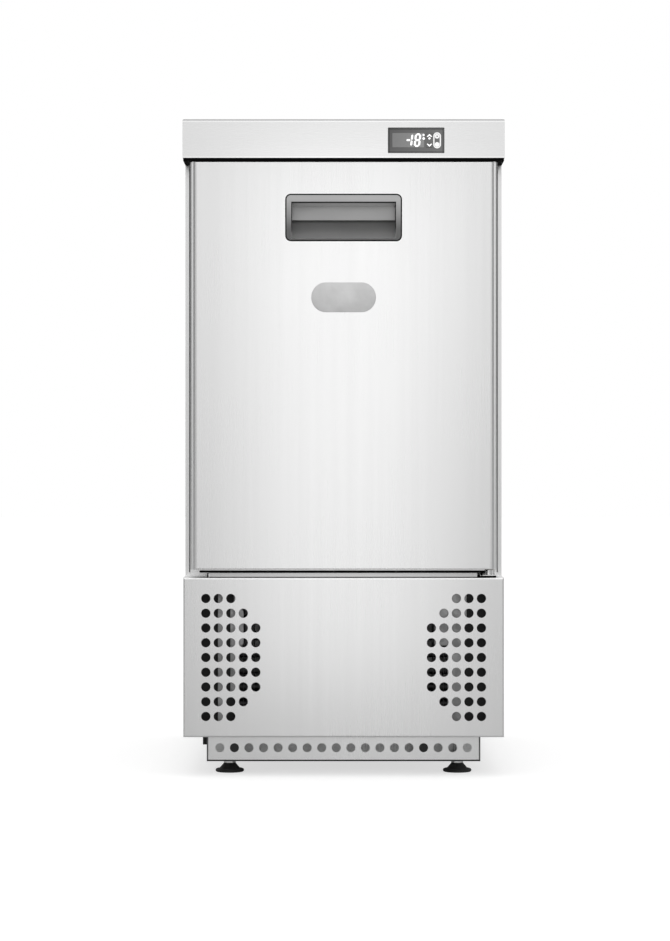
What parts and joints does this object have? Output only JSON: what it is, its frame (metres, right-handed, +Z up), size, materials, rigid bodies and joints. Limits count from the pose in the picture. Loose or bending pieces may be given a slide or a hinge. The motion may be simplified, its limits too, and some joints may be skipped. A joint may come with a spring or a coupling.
{
  "type": "undercounter freezer",
  "caption": "Slim stainless undercounter freezer with a hinged door, recessed handle, worktop with a display, perforated lower panel and levelling feet.",
  "frame": {"origin": "centre of the footprint, on the floor under the levelling feet", "axes": "+X to the right seen from the front, the front faces -Y, +Z up"},
  "size_m": [0.4, 0.6, 0.816],
  "materials": {
    "stainless": "satin",
    "inner_steel": "satin",
    "galvanised": "satin",
    "bright_steel": "satin",
    "foam": "matte",
    "core_board": "matte",
    "black_plastic": "matte",
    "lens": "gloss",
    "key_white": "gloss",
    "frame_plastic": "satin",
    "white_plastic": "satin",
    "handle_grey": "satin",
    "nylon": "satin",
    "gasket": "matte",
    "black_rubber": "matte",
    "black_paint": "satin",
    "copper": "satin",
    "fin_aluminium": "satin",
    "motor_paint": "satin",
    "fan_plastic": "satin",
    "shelf_coating": "satin"
  },
  "bodies": {
    "cabinet": {"worktop": "stainless", "worktop_core": "core_board", "controller_housing": "black_plastic", "display_lens": "lens", "left_side_panel": "stainless", "right_side_panel": "stainless", "back_panel": "galvanised", "rear_grille": "galvanised", "cabinet_top": "galvanised", "cabinet_floor": "stainless", "cabinet_foam": "foam", "inner_liner": "inner_steel", "breaker_frame": "frame_plastic", "lower_panel": "stainless", "base_plate": "galvanised", "plinth": "stainless", "rear_channel": "galvanised", "drain_plug": "black_rubber", "compressor": "black_paint", "compressor_mounts": "black_rubber", "terminal_box": "black_plastic", "vaporiser_tray": "fin_aluminium", "condenser_fins": "black_paint", "condenser_tube": "black_paint", "condenser_frame": "galvanised", "condenser_fan_motor": "motor_paint", "refrigerant_pipes": "copper", "evaporator_fins": "fin_aluminium", "evaporator_tube": "copper", "evaporator_cover": "inner_steel", "evaporator_fan_motor": "motor_paint", "drain_tray": "white_plastic", "racking_left": "inner_steel", "racking_right": "inner_steel", "shelf_clips": "inner_steel", "shelf_upper": "shelf_coating", "shelf_lower": "shelf_coating", "hinge_top": "stainless", "hinge_bottom": "stainless", "mains_gland": "black_plastic"},
    "door": {"door_skin": "stainless", "door_foam": "foam", "door_liner": "white_plastic", "door_gasket": "gasket", "door_handle": "handle_grey", "door_bushes": "nylon"},
    "key_up": {"key_up": "key_white"},
    "key_down": {"key_down": "key_white"},
    "key_info": {"key_info": "key_white"},
    "key_standby": {"key_standby": "key_white"},
    "condenser_fan": {"condenser_fan": "fin_aluminium"},
    "evaporator_fan": {"evaporator_fan": "fan_plastic"},
    "front_left_foot": {"front_left_pad": "black_rubber", "front_left_stud": "bright_steel"},
    "front_right_foot": {"front_right_pad": "black_rubber", "front_right_stud": "bright_steel"},
    "rear_left_foot": {"rear_left_pad": "black_rubber", "rear_left_stud": "bright_steel"},
    "rear_right_foot": {"rear_right_pad": "black_rubber", "rear_right_stud": "bright_steel"}
  },
  "joints": [
    {"name": "door_hinge", "type": "hinge", "parent": "cabinet", "child": "door", "pos_m": [0.1815, -0.272, 0.5], "axis": [0, 0, 1], "range_deg": [0, 115]},
    {"name": "key_up_press", "type": "slide", "parent": "cabinet", "child": "key_up", "axis": [0, 1, 0], "range_m": [0, 0.001], "stiffness_N_per_m": 1500},
    {"name": "key_down_press", "type": "slide", "parent": "cabinet", "child": "key_down", "axis": [0, 1, 0], "range_m": [0, 0.001], "stiffness_N_per_m": 1500},
    {"name": "key_info_press", "type": "slide", "parent": "cabinet", "child": "key_info", "axis": [0, 1, 0], "range_m": [0, 0.001], "stiffness_N_per_m": 1500},
    {"name": "key_standby_press", "type": "slide", "parent": "cabinet", "child": "key_standby", "axis": [0, 1, 0], "range_m": [0, 0.001], "stiffness_N_per_m": 1500},
    {"name": "condenser_fan_spin", "type": "hinge", "parent": "cabinet", "child": "condenser_fan", "pos_m": [0, -0.213, 0.1405], "axis": [0, 1, 0], "continuous": true},
    {"name": "evaporator_fan_spin", "type": "hinge", "parent": "cabinet", "child": "evaporator_fan", "pos_m": [0, 0.1658, 0.6148], "axis": [0, 1, 0], "continuous": true},
    {"name": "front_left_level", "type": "slide", "parent": "cabinet", "child": "front_left_foot", "axis": [0, 0, 1], "range_m": [-0.016, 0]},
    {"name": "front_right_level", "type": "slide", "parent": "cabinet", "child": "front_right_foot", "axis": [0, 0, 1], "range_m": [-0.016, 0]},
    {"name": "rear_left_level", "type": "slide", "parent": "cabinet", "child": "rear_left_foot", "axis": [0, 0, 1], "range_m": [-0.016, 0]},
    {"name": "rear_right_level", "type": "slide", "parent": "cabinet", "child": "rear_right_foot", "axis": [0, 0, 1], "range_m": [-0.016, 0]}
  ]
}
